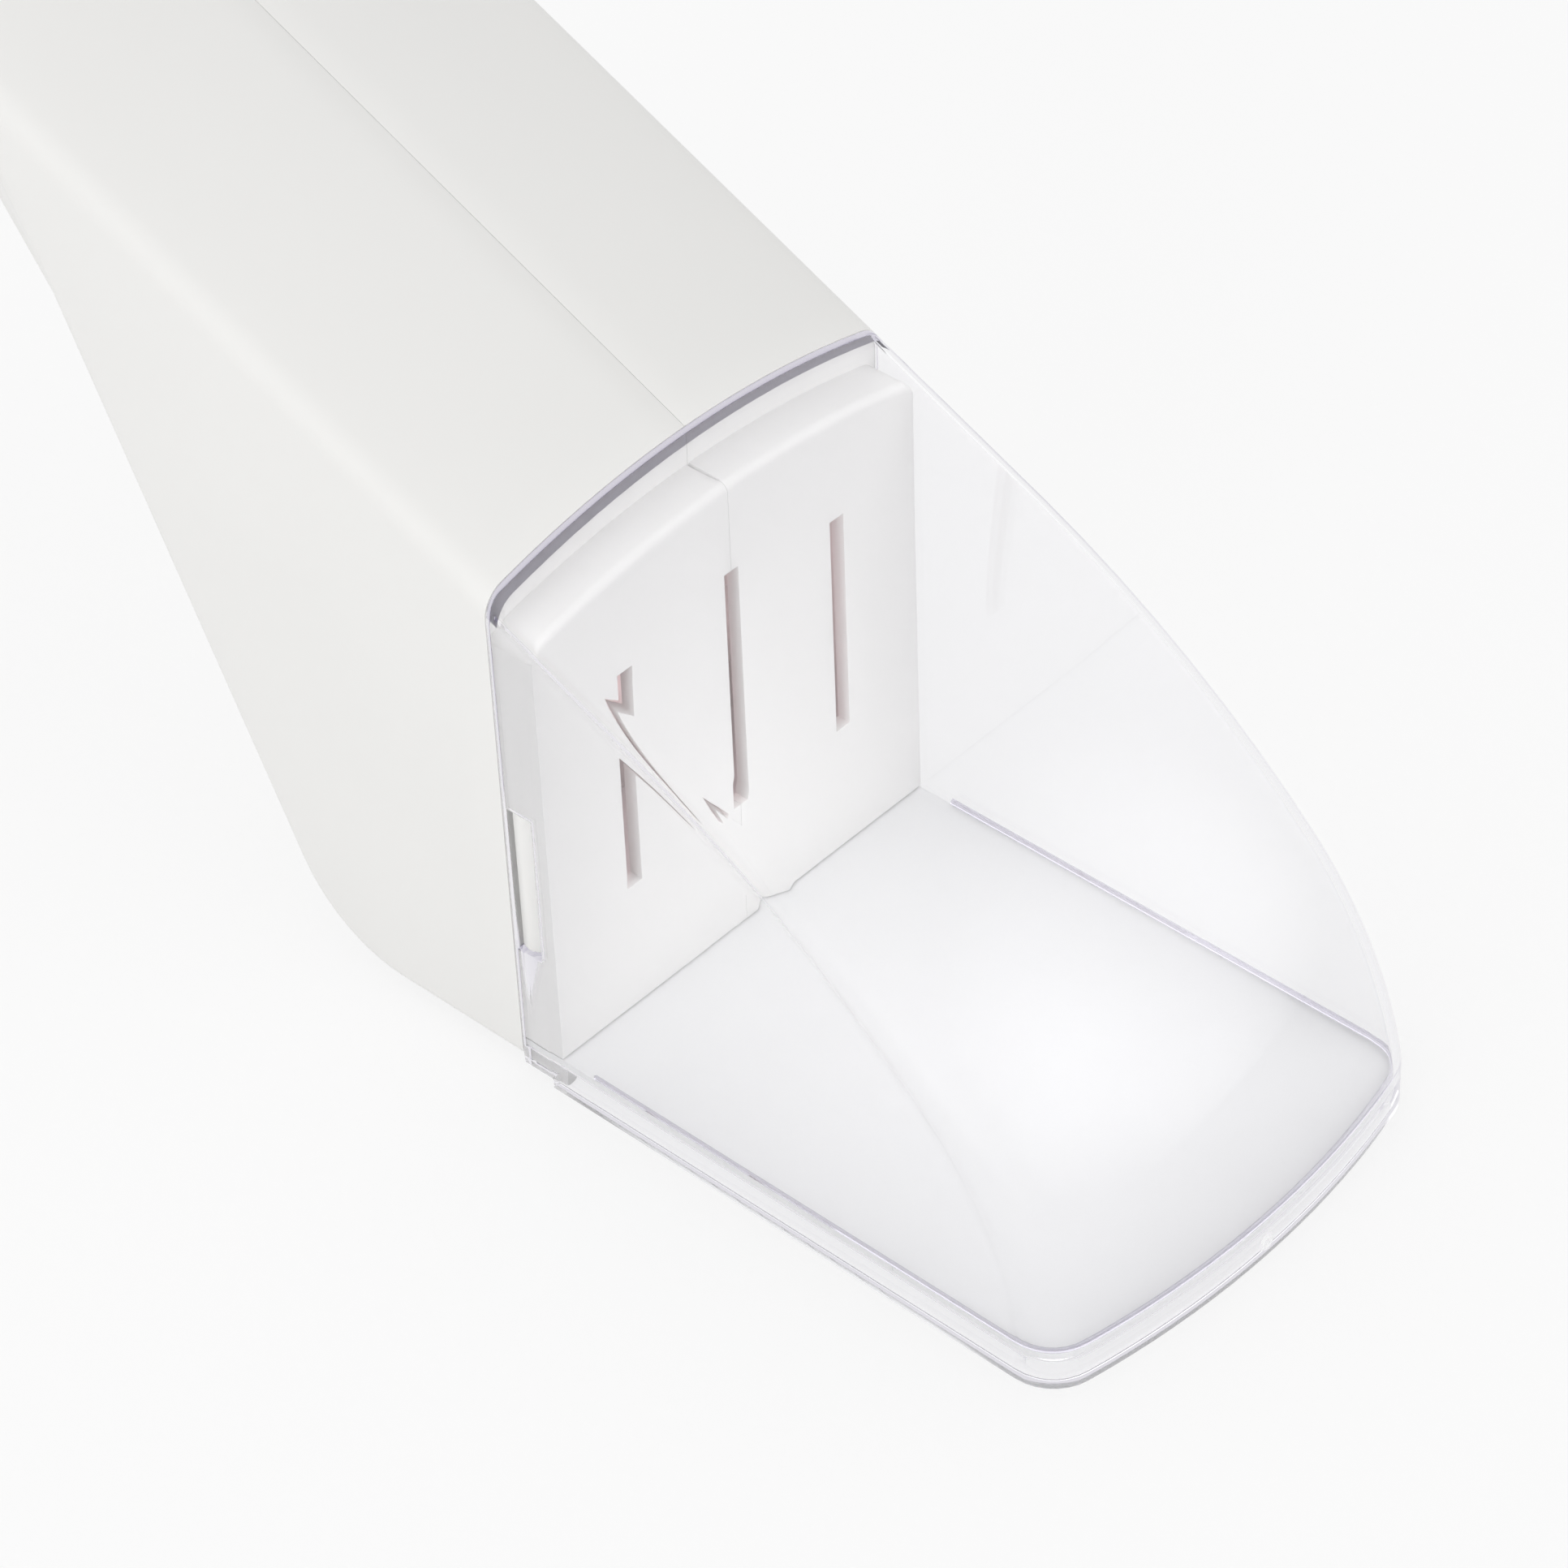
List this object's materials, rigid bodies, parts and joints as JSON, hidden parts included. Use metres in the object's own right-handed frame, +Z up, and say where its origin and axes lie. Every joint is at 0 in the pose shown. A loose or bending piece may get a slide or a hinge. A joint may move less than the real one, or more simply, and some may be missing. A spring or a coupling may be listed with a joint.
{
  "type": "insect catcher",
  "caption": "Hand-held bug catcher: a clear crowned hood with an open mouth, closed by a sliding trap door that a thumb slide on the slanted white handle works.",
  "frame": {"origin": "on the plane of the mouth rim, at the joint between the hood and the white body, in the middle of the width", "axes": "+X towards the tip of the hood, +Y to the far side, +Z up; the mouth rim lies in the plane Z = 0"},
  "size_m": [0.3007, 0.07, 0.1683],
  "materials": {
    "clear_plastic": "clear, glossy",
    "white_shell": "semi-gloss white",
    "door_plastic": "satin white",
    "slide_plastic": "matte light grey",
    "screw_steel": "plated steel"
  },
  "bodies": {
    "case": {"hood": "clear_plastic", "left_shell": "white_shell", "right_shell": "white_shell", "case_screws": "screw_steel", "door_tail": "door_plastic"},
    "door": {"door_leaf": "door_plastic", "door_web": "door_plastic"},
    "slider": {"thumb_button": "white_shell", "slide_carriage": "slide_plastic", "tail_clamp": "slide_plastic", "clamp_screws": "screw_steel"}
  },
  "joints": [
    {"name": "button_slide", "type": "slide", "parent": "case", "child": "slider", "axis": [-0.9135, 0, 0.4067], "range_m": [0, 0.084]},
    {"name": "door_slide", "type": "slide", "parent": "case", "child": "door", "axis": [-1, 0, 0], "range_m": [0, 0.084], "deforming": ["door_web", "door_tail"]}
  ],
  "couplings": [
    {"joint": "door_slide", "follows": "button_slide", "ratio": 1}
  ]
}
